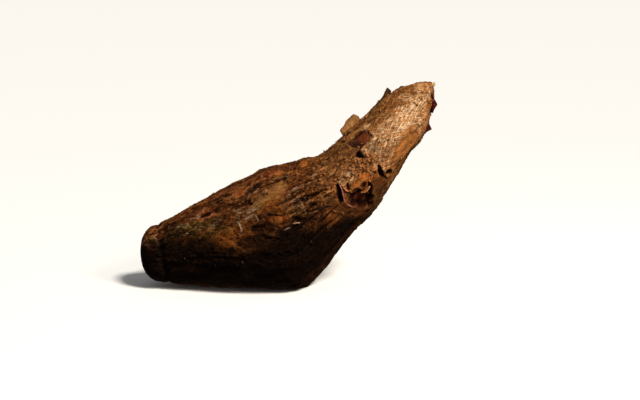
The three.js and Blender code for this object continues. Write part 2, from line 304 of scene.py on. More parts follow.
def strokeShare(strokes, along, turn):
    # thin bowed lines drawn on the bark: 1 on a line's middle and 0 outside its half width
    share = 0 * along
    for fromAlong, fromTurn, toAlong, toTurn, bow, halfWide, strength in strokes:
        around = tau * radiusAt((fromAlong + toAlong) / 2)
        wayX, wayY = (toAlong - fromAlong) * rootLength, (toTurn - fromTurn) * around
        length = math.hypot(wayX, wayY)
        way = turn - fromTurn
        x, y = (along - fromAlong) * rootLength, (way - np.round(way)) * around
        lengthwise = (x * wayX + y * wayY) / length ** 2
        aside = (x * wayY - y * wayX) / length - 4 * bow * lengthwise * (1 - lengthwise)
        past = np.maximum(0, abs(lengthwise - 0.5) - 0.5) * length
        stroke = smooth(1.5 * halfWide, 0.4 * halfWide, np.hypot(aside, past))
        share = np.maximum(share, strength * stroke)
    return share


def relief(along, turn, ragged=0):
    # ribs and lumps as sums of sines, with the seam, marks, patch and cracks dug in
    drift = 0.25 * np.sin(tau * 1.7 * along + 1)
    ribs = (0.6 * np.sin(tau * (9 * turn + drift))
            + 0.45 * np.sin(tau * (14 * turn - 2 * drift) + 4 * along)
            + 0.4 * np.sin(tau * (19 * turn + drift) - 9 * along))
    lumps = (0.7 * np.sin(tau * (2 * turn + 2.3 * along))
             + 0.5 * np.sin(tau * (3 * turn - 3.6 * along) + 2)
             + 0.35 * np.sin(tau * (turn + 7.5 * along) + 1))
    seam = rootForm["seamPlace"] + rootForm["seamTilt"] * np.sin(tau * turn)
    fromSeam = abs(along - seam) * rootLength + 1.8 * ragged
    height = (0.7 * ribs + lumps) * smooth(0, 0.12, along) + dug(along, turn, ragged)
    height -= rootForm["seamDepth"] * smooth(rootForm["seamWidth"], 0, fromSeam)
    height -= patchDepth * smooth(0.7, -1.2, outsidePatch(along, turn) + 1.8 * ragged)
    height -= 1.1 * strokeShare(darkLines, along, turn + 0.002 * ragged)
    whole = smooth(0.7, 1.7, reachTo(peeledSpot, along, turn))
    strength = whole * (0.6 - 0.35 * smooth(0.64, 0.78, along))
    for *place, deep, slant in np.array(cracks):
        reach = reachTo((*place, slant), along, turn)
        height += deep * strength * smooth(1.25, 0.2, reach + 0.25 * ragged)
    return height


def onRoot(along, turn, height):
    # middle + spoke round the oval + height along the spoke, never under the table
    middle, rise, side = sliceAt(along)
    angle = (tau * turn)[..., None]
    spoke = rise * np.cos(angle) + side * np.sin(angle)
    points = middle + spoke * capOpening(along)[..., None] + unit(spoke) * height[..., None]
    points[..., 2] = np.maximum(points[..., 2], 0)
    return points


def onRelief(along, turn, height=0):
    return onRoot(along, turn, relief(along, turn) + height)


barkForm = {
    # each size in mm across and along the root, each height in mm
    "fibreSize": (1.7, 9), "fibreHeight": 0.2, "lumpSize": (6, 10), "lumpHeight": 0.35,
    "flakeSize": (4.5, 9), "flakeStep": 0.5, "pitSize": (1.9, 2.8), "pitDepth": 0.6,
    "netSize": (2.4, 11), "netHeight": 0.5,
    "netTwist": 0.021,  # turn in radians for each mm of length: about 28 degrees aslant
    "tornSize": (2.8, 4.4), "tornHeight": 0.7, "raggedSize": (4, 7),
    "inset": 0.45,      # how far the bark's mean lies inside the smooth form
}


def raggedEdge(flow):
    # what pushes edges in and out, from -1 to 1
    return layered(flow, barkForm["raggedSize"], 3, 45)


def twisted(flow, way):
    # flow wound round its length, so that long patterns drawn there climb aslant
    x, y, z = np.moveaxis(flow, -1, 0)
    angle = way * barkForm["netTwist"] * z
    c, s = np.cos(angle), np.sin(angle)
    return joined(x * c - y * s, x * s + y * c, z)


# Places of each colour or finish: thousandths of the length and of a turn, half length and
# half width in mm, strength, and any slant in degrees.
patches = {
    "rust": [
        (285, 78, 8, 4.5, 1), (231, 30, 9, 5, 0.8), (330, 40, 14, 5, 0.6), (170, 90, 14, 5, 0.6),
        (440, 50, 12, 4, 0.7), (466, 137, 15, 3.5, 1, 8), (300, 760, 22, 7, 0.9, -12),
        (640, 900, 14, 7, 0.7), (420, 700, 16, 8, 0.5, 10), (69, 104, 4, 5, 1), (900, 700, 12, 7, 0.5),
        (200, 120, 8, 3, 0.7), (686, 350, 9, 7, 1), (380, 65, 12, 4, 0.7, -10), (920, 90, 14, 7, 0.6),
    ],
    "red": [(732, 140, 6, 8, 1, 12)],
    "orange": [
        (522, 44, 5, 4.5, 1), (415, 66, 6, 2.5, 0.7), (381, 196, 5.5, 3.5, 0.6), (430, 780, 8, 5, 0.7),
        (284, 79, 5, 3.2, 0.8), (680, 308, 7, 3.6, 0.5, 25), (655, 262, 9, 5, 0.15),
        (688, 330, 9, 5, 0.7, 20), (560, 274, 10, 5, 0.4), (600, 330, 14, 6, 0.3, 33),
    ],
    "ochre": [
        (248, 214, 16, 6, 0.8, -6), (830, 335, 21, 10, 1), (379, 161, 9, 4.5, 0.9, -15),
        (546, 292, 11, 8, 0.9), (560, 700, 12, 8, 0.9, 25), (790, 800, 17, 6, 0.8, 5),
        (200, 850, 18, 8, 0.6), (430, 10, 7, 4, 0.9), (610, 215, 10, 6, 0.6), (940, 300, 14, 8, 0.5),
        (740, 345, 11, 6, 0.7), (651, 268, 8, 5, 0.5), (985, 120, 6, 10, 0.6), (210, 230, 9, 5, 0.7),
    ],
    # soil stains, and some spots that are painted shade: the groove behind the tip's knob and a band above
    # the underside's painted shade near the scar
    "soilAndShade": [
        (330, 90, 7, 4, 0.9), (542, 99, 6, 4, 0.8), (300, 125, 5, 3, 0.7), (220, 150, 8, 4, 0.7),
        (420, 240, 20, 6, 0.6), (40, 160, 7, 6, 0.6), (490, 172, 16, 6, 0.4, 4), (460, 850, 12, 6, 0.8),
        (92, 130, 4, 8, 0.9), (300, 238, 10, 5, 0.8), (565, 350, 8, 9, 0.9), (340, 207, 11, 4.5, 0.9),
        (640, 100, 12, 4, 0.5), (684, 350, 10, 10, 1), (425, 232, 15, 5, 0.9), (480, 205, 9, 3, 0.6),
        (590, 315, 22, 7.5, 1, 33), (652, 385, 12, 6, 0.7), (95, 118, 11, 10, 0.75),
        (348, 186, 7, 4.5, 0.6), (289, 197, 8, 4.5, 0.5), (450, 45, 14, 4, 0.5), (466, 140, 8, 4, 0.75),
        (577, 149, 6, 4, 0.5), (560, 230, 9, 5, 0.5, 30), (392, 113, 6, 3.5, 0.4), (140, 84, 9, 4, 0.85),
        (664, 335, 8, 5, 0.7), (384, 166, 6, 3.5, 0.5), (758, 272, 6, 3.5, 0.35), (690, 400, 7, 5, 0.6),
        (443, 51, 6, 4.5, 0.85), (372, 193, 5, 4, 0.5), (430, 184, 7, 4, 0.4), (274, 104, 6, 4, 0.35),
        (299, 173, 5, 4, 0.3), (165, 106, 6, 4, 0.5), (525, 280, 8, 5, 0.6), (652, 308, 6, 5, 0.8),
        (734, 222, 5, 3.5, 0.6), (690, 155, 6, 4, 0.6), (654, 147, 7, 4, 0.45),
    ],
    "olive": [
        (148, 138, 20, 6, 1), (60, 135, 6, 5, 0.9), (215, 190, 16, 5, 0.6), (332, 150, 7, 4, 0.9),
        (454, 197, 5, 4, 0.9), (240, 900, 20, 8, 0.7), (480, 820, 16, 7, 0.5), (790, 30, 20, 5, 0.5),
        (700, 60, 20, 4, 0.4),
    ],
    "pale": [
        (38, 172, 3, 3, 1), (22, 230, 2, 4, 0.7), (128, 121, 7, 2, 0.9, 10), (172, 100, 4, 2, 0.8, 20),
        (200, 165, 8, 2.5, 0.6), (305, 155, 9, 3, 0.6, 10), (277, 180, 3, 6, 0.8), (470, 190, 6, 4, 0.3),
        (240, 860, 9, 3, 0.8), (500, 800, 8, 4, 0.6),
    ],
    "tan": [(380, 130, 20, 5.8, 1, -19), (713, 84, 12, 3.8, 1, 12), (200, 700, 14, 5, 0.8)],
    "torn": [
        (650, 270, 12, 7, 0.35), (685, 270, 10, 7, 0.9), (560, 700, 9, 6, 0.7, 25), (720, 295, 9, 6, 0.7),
    ],
    "bright": [
        (862, 222, 32, 10.5, 1, -9), (772, 195, 22, 7, 0.75, -6), (905, 310, 13, 9, 0.8),
        (632, 208, 7, 5, 0.7), (730, 235, 9, 5, 0.7), (955, 130, 11, 9, 0.7), (713, 278, 8, 4.5, 0.6),
        (622, 205, 9, 4.5, 0.8), (726, 322, 7, 4, 0.7), (742, 111, 6, 4, 0.5), (882, 121, 7, 4, 0.6),
        (850, 650, 30, 13, 0.8),
    ],
    "bare": [
        (830, 335, 21, 10, 1), (380, 131, 18, 5.2, 0.85, -19), (716, 137, 12, 6, 1, 12),
        (285, 78, 7, 3.5, 0.6), (300, 760, 21, 5.5, 0.9, -12), (713, 84, 11, 3.2, 0.9, 12),
        (684, 350, 10, 7, 0.8), (650, 272, 7, 4.5, 0.5), (790, 800, 15, 4.5, 0.9, 5),
        (570, 330, 12, 6, 0.6), (950, 300, 12, 7, 0.6),
    ],
    "mottled": [
        (600, 130, 20, 12, 1), (560, 195, 10, 7, 0.9), (290, 85, 12, 6, 0.7), (430, 80, 22, 6, 0.6),
        (560, 850, 24, 12, 0.9), (55, 120, 9, 9, 0.6),
    ],
    "scratched": [
        (300, 160, 14, 8, 1, 30), (330, 110, 10, 4, 0.8), (480, 170, 24, 9, 0.9),
        (860, 200, 20, 6, 1, -10), (190, 150, 14, 6, 0.6), (420, 640, 20, 9, 0.8, -20),
    ],
    "grooved": [(480, 165, 26, 13, 1), (370, 85, 22, 4, 0.7), (520, 850, 26, 12, 0.9)],
}
patches = {name: readTable(rows, 2, (0,) * 6) for name, rows in patches.items()}


def patchMask(name, along, turn, flow):
    # the strongest of the soft ovals of that name, their edges pushed in and out by noise
    ragged = 0.35 * layered(flow, (4, 8), 3, 40 + 4 * list(patches).index(name))
    mask = np.zeros_like(along)
    for *place, strength, slant in patches[name]:
        reach = reachTo((*place, slant), along, turn) + ragged
        mask = np.maximum(mask, strength * smooth(1.35, 0.6, reach))
    return mask


def barkHeight(along, turn):
    # the relief and on it, in mm along the spoke, noise as fibres, lumps, steps of flaked
    # cork, pits, crossed fibres round the neck, and torn spots
    use = barkForm
    flow = straightened(along, turn)
    neck = smooth(0.5, 0.74, along + 0.04 * layered(flow, (18, 18), 2, 3))
    bare, torn = (patchMask(name, along, turn, flow) for name in ("bare", "torn"))
    ragged = raggedEdge(flow)
    coarse = relief(along, turn, ragged)
    hollow = smooth(-1.2, -2.8, dug(along, turn, ragged))
    net = np.zeros_like(along)
    for way in (-1, 1):
        strand = abs(noise(scaled(twisted(flow, way), use["netSize"]), 32 + way))
        net = np.maximum(net, smooth(0.35, 0.02, strand))
    fine = use["fibreHeight"] * layered(flow, use["fibreSize"], 3, 21)
    fine += use["lumpHeight"] * layered(flow, use["lumpSize"], 3, 24)
    fine += use["flakeStep"] * (smooth(0, 0.12, layered(flow, use["flakeSize"], 3, 12)) - 0.5)
    pits = smooth(0.4, 0.75, noise(scaled(flow, use["pitSize"]), 35))
    fine -= use["pitDepth"] * pits * (1 - 0.5 * neck)
    fine += use["netHeight"] * (net - 0.4) * neck
    fine += use["tornHeight"] * layered(flow, use["tornSize"], 3, 37) * torn
    return coarse + fine * (1 - 0.8 * bare) * (1 - 0.6 * hollow) - use["inset"], hollow, neck


def averaged(grid, steps):
    # each value's mean with those a few steps off, round the root and along it
    for step in steps:
        grid = (grid + np.roll(grid, step, 1) + np.roll(grid, -step, 1)) / 3
        longer = np.pad(grid, ((step, step), (0, 0)), "edge")
        grid = (grid + longer[:-2 * step] + longer[2 * step:]) / 3
    return grid


# the edge of the painted shade on the underside: thousandths of the length, and of a turn from the back
underShadeEdge = readTable([
    (50, 155), (80, 145), (120, 160), (200, 215), (270, 250), (330, 222), (400, 218), (470, 240),
    (530, 298), (580, 358), (650, 425), (1000, 460),
], 2)


def underShadeMask(along, turn):
    # painted shade on the underside: darkest just below that edge, fainter at the belly, lower and fainter
    # on the far side
    flow = straightened(along, turn)
    fromBack = 0.5 - abs(turn % 1 - 0.5) + 0.02 * layered(flow, (7, 12), 3, 90)
    farSide = smooth(0.46, 0.56, turn % 1)
    edge = np.interp(along, underShadeEdge[:, 0], underShadeEdge[:, 1]) + 0.06 * farSide
    belly = smooth(0.36, 0.46, fromBack)
    return smooth(-0.04, 0.035, fromBack - edge) * (1 - 0.3 * belly) * (1 - 0.3 * farSide)


def barkMasks(along, turn, height, hollow, neck):
    # where each colour goes, 0 to 1: the patches, the lines, what is high, and painted shade in what is
    # low and beneath
    flow = straightened(along, turn)
    ragged = raggedEdge(flow)
    masks = {name: patchMask(name, along, turn, flow) for name in patches}
    patch = smooth(0.7, -0.8, outsidePatch(along, turn) + 1.8 * ragged)
    # how far the bark lies below the bark around it, for painted shade in the cavities
    low = smooth(0.1, 0.7, averaged(height, (1, 2, 3, 2, 1)) - height)
    split = smooth(-0.2, 0.5, noise(scaled(flow, (16, 34)), 9))
    return {
        **masks, "neck": neck, "hollow": hollow, "patch": patch, "red": masks["red"] * patch,
        "crest": smooth(-0.05, 0.35, height - averaged(height, (1, 2, 1))),
        "cavityShade": low * (1 - 0.55 * neck * (1 - hollow)),
        "paleLine": strokeShare(paleLines, along, turn + 0.002 * ragged),
        "darkLine": strokeShare(darkLines, along, turn + 0.002 * ragged),
        "underShade": underShadeMask(along, turn),
        "rough": (1 - masks["bare"]) * (1 - 0.65 * neck * masks["bright"] - 0.2 * neck),
        "cracked": split * (1 - masks["bare"]) * (1 - 0.8 * neck),
        "wood": 0 * along,
    }


def makeMesh(name, points, faces):
    mesh = bpy.data.meshes.new(name)
    mesh.from_pydata(np.reshape(points, (-1, 3)) * mm, [], faces)
    mesh.shade_smooth()
    return addObject(name, mesh)


def addAttribute(piece, name, values):
    vector = np.ndim(values) > 1 and np.shape(values)[-1] == 3
    layer = piece.data.attributes.new(name, "FLOAT_VECTOR" if vector else "FLOAT", "POINT")
    layer.data.foreach_set("vector" if vector else "value", np.ravel(values).astype(np.float32))


def settle(piece):
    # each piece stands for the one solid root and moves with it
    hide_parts("cassava_root")
    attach(piece, "root")
    print(piece.name, "made:", len(piece.data.polygons), "faces")


rootGrid = {"around": 230, "capRings": 14, "rings": 378, "cutRings": 18, "nearCrowding": 0.45}


def unwrap(piece, ringCount, count):
    # the grid laid out flat for the bake: round the root across, tip to cut upwards
    left = np.arange(count) / count
    middle, right = left + 0.5 / count, left + 1 / count
    up = np.arange(1, ringCount + 1)[:, None] / (ringCount + 1)
    low, high = up[:-1], up[1:]
    corners = [joined(left, low, right, low, right, high, left, high),
               joined(middle, 0, right, up[0], left, up[0]),
               joined(left, up[-1], right, up[-1], middle, 1)]
    layer = piece.data.uv_layers.new(name="OFBake")
    layer.data.foreach_set("uv", np.concatenate([c.ravel() for c in corners]).astype(np.float32))


def makeRoot(use):
    # rings from the tip to the cut's rim, then rings drawn in to the middle of the wood
    count = use["around"]
    turnRow = np.arange(count) / count
    turnRow = turnRow + 0.5 - use["nearCrowding"] * np.sin(tau * (turnRow - 0.75)) / tau
    cap = rootForm["capShare"]
    alongs = np.concatenate([
        cap * (1 - np.cos(np.arange(1, use["capRings"] + 1) / use["capRings"] * math.pi / 2)),
        cap + (1 - cap) * np.arange(1, use["rings"] + 1) / use["rings"],
    ])
    along, turn = np.meshgrid(alongs, turnRow, indexing="ij")
    height, hollow, neck = barkHeight(along, turn)
    opening = capOpening(along)
    skin = onRoot(along, turn, height * opening)
    crumbs = layered(skin, (2.6, 2.6), 3, 92) * (1 - opening) * smooth(0, 0.3, opening)
    skin[..., 0] += 0.5 * abs(crumbs)

    # the cut, with a step down from the peel to the torn wood
    share = 1 - np.arange(1, use["cutRings"]) / use["cutRings"]
    middle, rise, side = sliceAt(np.array(1.0))
    facing = unit(np.cross(rise, side))
    share, spin = np.meshgrid(share, turnRow, indexing="ij")
    wood = middle + (skin[-1] - middle) * share[..., None]
    inPeel = rootForm["peelThickness"] / np.linalg.norm(side)
    splinters = np.sin(tau * 5 * spin + 7 * share) + np.sin(tau * 3 * spin - 11 * share)
    lift = 0.5 * splinters * smooth(1, 0.7, share) * smooth(0, 0.3, share)
    lift += 0.45 * layered(wood, (0.9, 2.5), 3, 50) * smooth(1, 0.8, share)
    lift -= rootForm["peelStep"] * smooth(0, inPeel, 1 - share) + 0.3
    wood = wood + facing * lift[..., None]

    tipPoint = sliceAt(np.array(0.0))[0]
    endPoint = middle - facing * (rootForm["peelStep"] + 0.3)
    points = np.vstack([tipPoint[None], skin.reshape(-1, 3), wood.reshape(-1, 3), endPoint[None]])
    ringCount = len(alongs) + use["cutRings"] - 1
    first = 1 + np.arange(ringCount * count).reshape(ringCount, count)
    after = np.roll(first, -1, axis=1)
    quads = joined(first[:-1], after[:-1], after[1:], first[1:]).reshape(-1, 4)
    tip = joined(0, after[0], first[0])
    end = joined(first[-1], after[-1], len(points) - 1)
    piece = makeMesh("rootBark", points, quads.tolist() + tip.tolist() + end.tolist())

    for name, onSkin in barkMasks(along, turn, height, hollow, neck).items():
        onCut = smooth(1, 1 - inPeel, share).ravel() if name == "wood" else np.zeros(share.size)
        values = [onSkin[0].mean(keepdims=True), onSkin.ravel(), onCut, onCut[-1:]]
        addAttribute(piece, name, np.concatenate(values))
    flow = straightened(along, turn).reshape(-1, 3)
    for name, way in (("flow", 0), ("flowLeft", -1), ("flowRight", 1)):
        wound = [np.zeros((1, 3)), twisted(flow, way), wood.reshape(-1, 3), middle[None]]
        addAttribute(piece, name, np.vstack(wound))
    unwrap(piece, ringCount, count)
    return piece


rootBark = makeRoot(rootGrid)
settle(rootBark)


def frameAt(along, turn):
    # a place on the bark and its directions: lengthwise, down round the side, and outward
    step = 0.004
    lengthwise = unit(onRelief(along + step, turn) - onRelief(along - step, turn))
    aside = onRelief(along, turn + step) - onRelief(along, turn - step)
    outward = unit(np.cross(aside, lengthwise))
    return onRelief(along, turn), lengthwise, np.cross(lengthwise, outward), outward


# Torn tongues of bark: thousandths of the length and of a turn, hinge and reach in mm, the
# degrees at which it leaves the root, bends further and slants, shear in mm, taper, from
# where to where along the hinge it has its full reach, and the share of that at the ends.
tongues = {
    "neckFlap": [(709, -8, 18.8, 7.4, 95, -15, 0, 0.5, 0, 0.6, 0.91, 0.5)],
    "neckSliver": [
        (829, -8, 10, 5.5, 85, 5, 0, 3, 0.1, 0.8, 0.9, 0.25),
        (890, -20, 6, 1.4, 60, 20, 0, 0, 0.3, 0.35, 0.65, 0.3),
    ],
    "cutPeel": [
        (984, 285, 15, 4.6, 8, -12, 140, 0, 0.3, 0.6, 0.65, 0.15),
        (925, 414, 9, 3.8, 85, -25, 0, 1, 0.3, 0.45, 0.55, 0.15),
    ],
    "scarLips": [
        (623, 280, 9, 2.4, 30, -30, 235), (650, 302, 9, 2.4, 35, -30, 185),
        (611, 243, 6, 1.6, 30, -20, 250, 0, 0.3, 0.35, 0.65, 0.4),
    ],
    "barkCurls": [
        (439, 224, 6, 2.6, 40, 75, 32), (340, 800, 9, 5.6, 45, 40, 15, 0, 0.4),
        (580, 730, 8, 5, 55, -30, 200, 0, 0.5), (830, 850, 6, 8, 30, 20, 90, 0, 0.4),
    ],
}
usualTongue = (0,) * 8 + (0.3, 0.35, 0.65, 0.55)
tongueForm = {"columns": 18, "rows": 12, "thickness": 1, "sunk": 1.6, "crinkle": 0.35}
tableGap = 0.05  # mm, the least that a torn piece stays above the table

flakeForm = {
    "columns": 4, "rows": 3, "thickness": 0.35, "sunk": 0.8, "crinkle": 0.2,
    "count": 460, "seed": 11,
    # two in five stand up round the scar (mean and spread of their places), two lie on the
    # neck and one on the body (lowest and highest share of the length and of a turn)
    "alongs": ((0.675, 0.028), (0.55, 0.97), (0.07, 0.6)),
    "turns": ((0.245, 0.03), (-0.45, 0.45), (-0.33, 0.33)),
    "reach": ((1, 2.8), (0.9, 2.2)), "lift": ((10, 65), (3, 16)),  # mm, degrees: scar, others
}


def flakeTable(use):
    # small flakes of cork, each a row like a tongue's
    random = np.random.default_rng(use["seed"])
    count = use["count"]
    onScar, onBody = np.arange(count) % 5 < 2, np.arange(count) % 5 == 4

    def even(low, high):
        return random.uniform(low, high, count)

    def spread(scar, neck, body):
        offBody = np.where(onScar, random.normal(*scar, count), even(*neck))
        return np.where(onBody, even(*body), offBody)

    along, turn = spread(*use["alongs"]), spread(*use["turns"])
    reach, lift = (np.where(onScar, even(*use[key][0]), even(*use[key][1])) for key in ("reach", "lift"))
    slant = random.choice([0, 90, 180, 270], count) + random.normal(0, 25, count)
    rise = even(0.1, 0.7)
    table = [along, turn, reach * even(1, 2.2), reach, lift, even(-25, 30), slant, even(-1, 1),
             even(0.3, 0.8), rise, rise + 0.2, np.full(count, 0.45)]
    clear = np.minimum(*(reachTo(spot, along, turn) for spot in flayedSpots)) > 1
    clear &= dug(along, turn) > -1
    return np.stack(table, -1)[clear]


def makeTongues(name, table, use):
    # rows step outwards from a straight hinge, each turned further by the curl; a column's
    # steps are as long as the ragged edge lets them be. The sheet is that grid's front and
    # rear, joined round the border.
    columns, rows = use["columns"], use["rows"]
    along, turn, hinge, reach, lift, curl, slant, shear, taper, rise, fall, ends = table.T[..., None, None]
    foot, lengthwise, downwards, outward = (v[:, None, None] for v in frameAt(*table.T[:2]))
    slant = np.radians(slant)[..., None]
    hingeWay = lengthwise * np.cos(slant) + downwards * np.sin(slant)
    growth = np.cross(outward, hingeWay)
    number, v, u = np.meshgrid(np.arange(len(table)), np.linspace(0, 1, rows + 1),
                               np.linspace(0, 1, columns + 1), indexing="ij")
    full = np.minimum(1, np.minimum(u / rise, (1 - u) / (1 - fall)))
    wave = 0.08 * np.sin(5 * math.pi * u + along)
    edge = ends * (1 + wave) + (1 - ends) * full
    edge = edge * (1 + 0.12 * ends * noise(joined(9 * number + 7 * u, 0, 0), 70))
    step = (reach * edge / rows * (v > 0))[..., None]
    angle = np.radians(lift + curl * v)[..., None]
    heading = growth * np.cos(angle) + outward * np.sin(angle)
    normal = outward * np.cos(angle) - growth * np.sin(angle)
    slide = (u - 0.5) * hinge * (1 - taper * v * v) + shear * v
    crinkle = use["crinkle"] * layered(joined(9 * number + 5 * u, 3 * v, along), (1, 1), 2, 72) * v
    centre = foot + np.cumsum(heading * step, 1) + hingeWay * slide[..., None]
    centre = centre + normal * crinkle[..., None]
    half = normal * (use["thickness"] / 2 * (1 - 0.55 * v * v))[..., None]
    # a first row sunk into the root
    sunk = centre[:, :1] - outward * use["sunk"]
    centre = np.concatenate([sunk, centre], 1)
    half = np.concatenate([-growth * use["thickness"] / 2 + 0 * sunk, half], 1)
    number, v, u = (np.concatenate([grid[:, :1], grid], 1) for grid in (number, v, u))
    points = np.stack([centre + half, centre - half], 1)
    points[..., 2] = np.maximum(points[..., 2], tableGap)

    grid = np.arange((rows + 2) * (columns + 1)).reshape(rows + 2, columns + 1)
    front = joined(grid[:-1, :-1], grid[:-1, 1:], grid[1:, 1:], grid[1:, :-1]).reshape(-1, 4)
    border = np.concatenate([grid[0, :-1], grid[:-1, -1], grid[-1, :0:-1], grid[:0:-1, 0]])
    following = np.roll(border, -1)
    sides = joined(border, border + grid.size, following + grid.size, following)
    faces = np.concatenate([front, front[:, ::-1] + grid.size, sides])
    faces = faces[None] + 2 * grid.size * np.arange(len(table))[:, None, None]
    piece = makeMesh(name, points, faces.reshape(-1, 4).tolist())

    onBothSides = {
        "rim": np.maximum(v ** 3, abs(2 * u - 1) ** 5),
        "tone": cellValue(joined(number, number, number), 74) * 0.5 + 0.5,
        "neck": smooth(0.5, 0.72, along) + 0 * u,
        "underShade": underShadeMask(along, turn) + 0 * u,
        "flow": joined((u - 0.5) * hinge, 20 * number, v * reach),
    }
    for key, value in onBothSides.items():
        addAttribute(piece, key, np.stack([value, value], 1))
    addAttribute(piece, "inner", np.stack([0 * u, 0 * u + 1], 1))
    return piece


for tongueName, tongueRows in tongues.items():
    settle(makeTongues(tongueName, readTable(tongueRows, 2, usualTongue), tongueForm))
settle(makeTongues("corkFlakes", flakeTable(flakeForm), flakeForm))


def makeTubes(name, paths, radii, sides, reference, tones):
    # a round section carried along each path, set square to it, and closed at both ends
    along = unit(np.gradient(paths, axis=1))
    across = unit(np.cross(along, reference))
    upwards = np.cross(across, along)
    spin = tau * np.arange(sides)[:, None] / sides
    ring = across[:, :, None] * np.cos(spin) + upwards[:, :, None] * np.sin(spin)
    points = paths[:, :, None] + ring * radii[:, :, None, None]
    points[..., 2] = np.maximum(points[..., 2], tableGap)

    grid = np.arange(paths.shape[1] * sides).reshape(paths.shape[1], sides)
    beside = np.roll(grid, -1, axis=1)
    walls = joined(grid[:-1], grid[1:], beside[1:], beside[:-1]).reshape(-1, 4)
    first = grid.size * np.arange(len(paths))[:, None]
    faces = (walls[None] + first[..., None]).reshape(-1, 4).tolist()
    faces += (grid[0] + first).tolist() + (grid[-1, ::-1] + first).tolist()
    piece = makeMesh(name, points, faces)
    share = np.linspace(0, 1, paths.shape[1])[None, :, None]
    addAttribute(piece, "rim", np.broadcast_to(share ** 4, points.shape[:3]))
    addAttribute(piece, "tone", np.broadcast_to(tones[:, None, None], points.shape[:3]))
    addAttribute(piece, "flow", points)
    return piece


strandForm = {
    # pale scratches and fibres: start and end in thousandths, and bow in mm
    "placed": [
        (291, 172, 318, 169, 0.5), (322, 170, 329, 190, 0.3), (304, 157, 327, 156, -0.4),
        (274, 176, 281, 206, 1.4), (447, 141, 480, 142, 0.4), (400, 225, 419, 224, 0.6),
        (872, 206, 906, 186, 0.4), (911, 204, 928, 187, 0.2), (810, 245, 848, 230, 0.3),
        (360, 860, 420, 850, 0.8), (250, 820, 280, 800, -1), (500, 780, 550, 790, 0.6),
        (800, 700, 850, 720, 0.5),
    ],
    "scattered": 40, "strandLength": (2, 6),  # mm
    "steps": 12, "sides": 5, "radius": 0.34, "fineRadius": 0.18, "seed": 5,
}


def makeStrands(use):
    # lines that follow the bark: the placed ones bow sideways, and short scattered ones run
    # near the root's length in the scratched spots
    random = np.random.default_rng(use["seed"])
    share = np.linspace(0, 1, use["steps"])
    start, startTurn, end, endTurn, bow = readTable(use["placed"], 4).T[..., None]
    alongs = start + (end - start) * share
    turns = startTurn + (endTurn - startTurn) * share
    turns = turns - bow * np.sin(math.pi * share) / (tau * radiusAt(start))

    count = use["scattered"]
    spots = patches["scratched"][random.integers(0, len(patches["scratched"]), count)]
    atAlong, atTurn, halfLong, halfWide = spots.T[:4, :, None]

    def spread(width):
        return random.normal(0, width, (count, 1))

    along = atAlong + spread(0.6) * halfLong / rootLength
    turn = atTurn + spread(0.6) * halfWide / (tau * radiusAt(atAlong))
    heading = spread(0.3) + spread(0.5) * share
    step = random.uniform(*use["strandLength"], (count, 1)) / use["steps"]
    fineAlongs = along + np.cumsum(np.cos(heading) * step, 1) / rootLength
    fineTurns = turn + np.cumsum(np.sin(heading) * step, 1) / (tau * radiusAt(along))

    alongs = np.clip(np.vstack([alongs, fineAlongs]), 0.05, 0.992)
    turns = np.vstack([turns, fineTurns])
    thick = np.full(len(alongs), use["fineRadius"])
    thick[:len(start)] = use["radius"]
    height = barkHeight(alongs, turns)[0]
    paths = onRoot(alongs, turns, height + 0.1 * thick[:, None])
    reference = onRoot(alongs, turns, height + 2) - onRoot(alongs, turns, height)
    at = 4 * share + 9 * np.arange(len(alongs))[:, None]
    uneven = 1 + 0.4 * noise(joined(at, at, at), 88)
    radii = thick[:, None] * uneven * (1 - 0.75 * abs(2 * share - 1) ** 2.5)
    tones = np.where(alongs[:, 0] > 0.75, 1, 0.3 * random.uniform(0, 1, len(alongs)))
    return makeTubes("paleFibres", paths, radii, use["sides"], reference, tones)


settle(makeStrands(strandForm))


slitLipForm = {
    # the rolled edge of skin beside the slit: thousandths of the length and of a turn
    "path": [(603, 203), (602, 220), (598, 243), (590, 260), (590, 282), (594, 308), (601, 323)],
    "stand": 1.6,      # mm over the root's form
    "radius": 0.55,    # mm at the middle
    "steps": 40, "sides": 10,
}


def makeSlitLip(use):
    # a tapering roll of skin along a smooth line through the path's points
    points = readTable(use["path"], 2)
    at = np.linspace(0, 1, use["steps"])
    knots = np.linspace(0, 1, len(points))
    along, turn = (np.polyval(np.polyfit(knots, column, 5), at)[None] for column in points.T)
    wave = 0.35 * layered(joined(5 * at, 0, 0)[None], (1, 1), 2, 80)
    height = use["stand"] * np.sin(math.pi * np.clip(at * 0.9 + 0.1, 0, 1)) ** 0.5 + wave - 0.6
    paths = onRoot(along, turn, height)
    reference = onRoot(along, turn, height + 2) - paths
    radii = use["radius"] * np.sin(math.pi * np.clip(at, 0.02, 0.98)) ** 0.6 * (1 + 0.5 * wave)
    return makeTubes("slitLip", paths, radii, use["sides"], reference, np.array([0.5]))


settle(makeSlitLip(slitLipForm))


stubForm = {
    # blunt tapering ends of rootlets, set by the same rule as on the solid root
    "count": 16, "radius": 0.8, "steps": 6, "sides": 10, "sunk": 1.6, "broken": 0.3, "taper": 0.5,
    "blunt": 0.3, "waver": (0.25, 0.25, 0), "waverSize": (1.5, 1.5), "seed": 84, "aside": (0, 0, 0),
}
splinterForm = {
    # slivers of pale wood at the back of the cut, as on the solid root: thousandths of the
    # length and of a turn, length, radius and lean to the stem end
    "slivers": [(992, 60, 2, 0.9, 1.6), (994, 100, 2.4, 0.8, 0.9), (993, 80, 1.6, 0.5, 1.8)],
    "tones": (0.4, 0.9, 0.7), "steps": 6, "sides": 8, "sunk": 1.6, "broken": 0, "taper": 0.65,
    "blunt": 0, "waver": (0.2, 0.2, 0.2), "waverSize": (0.8, 0.8), "seed": 86, "aside": (0, 0.3, 0),
}


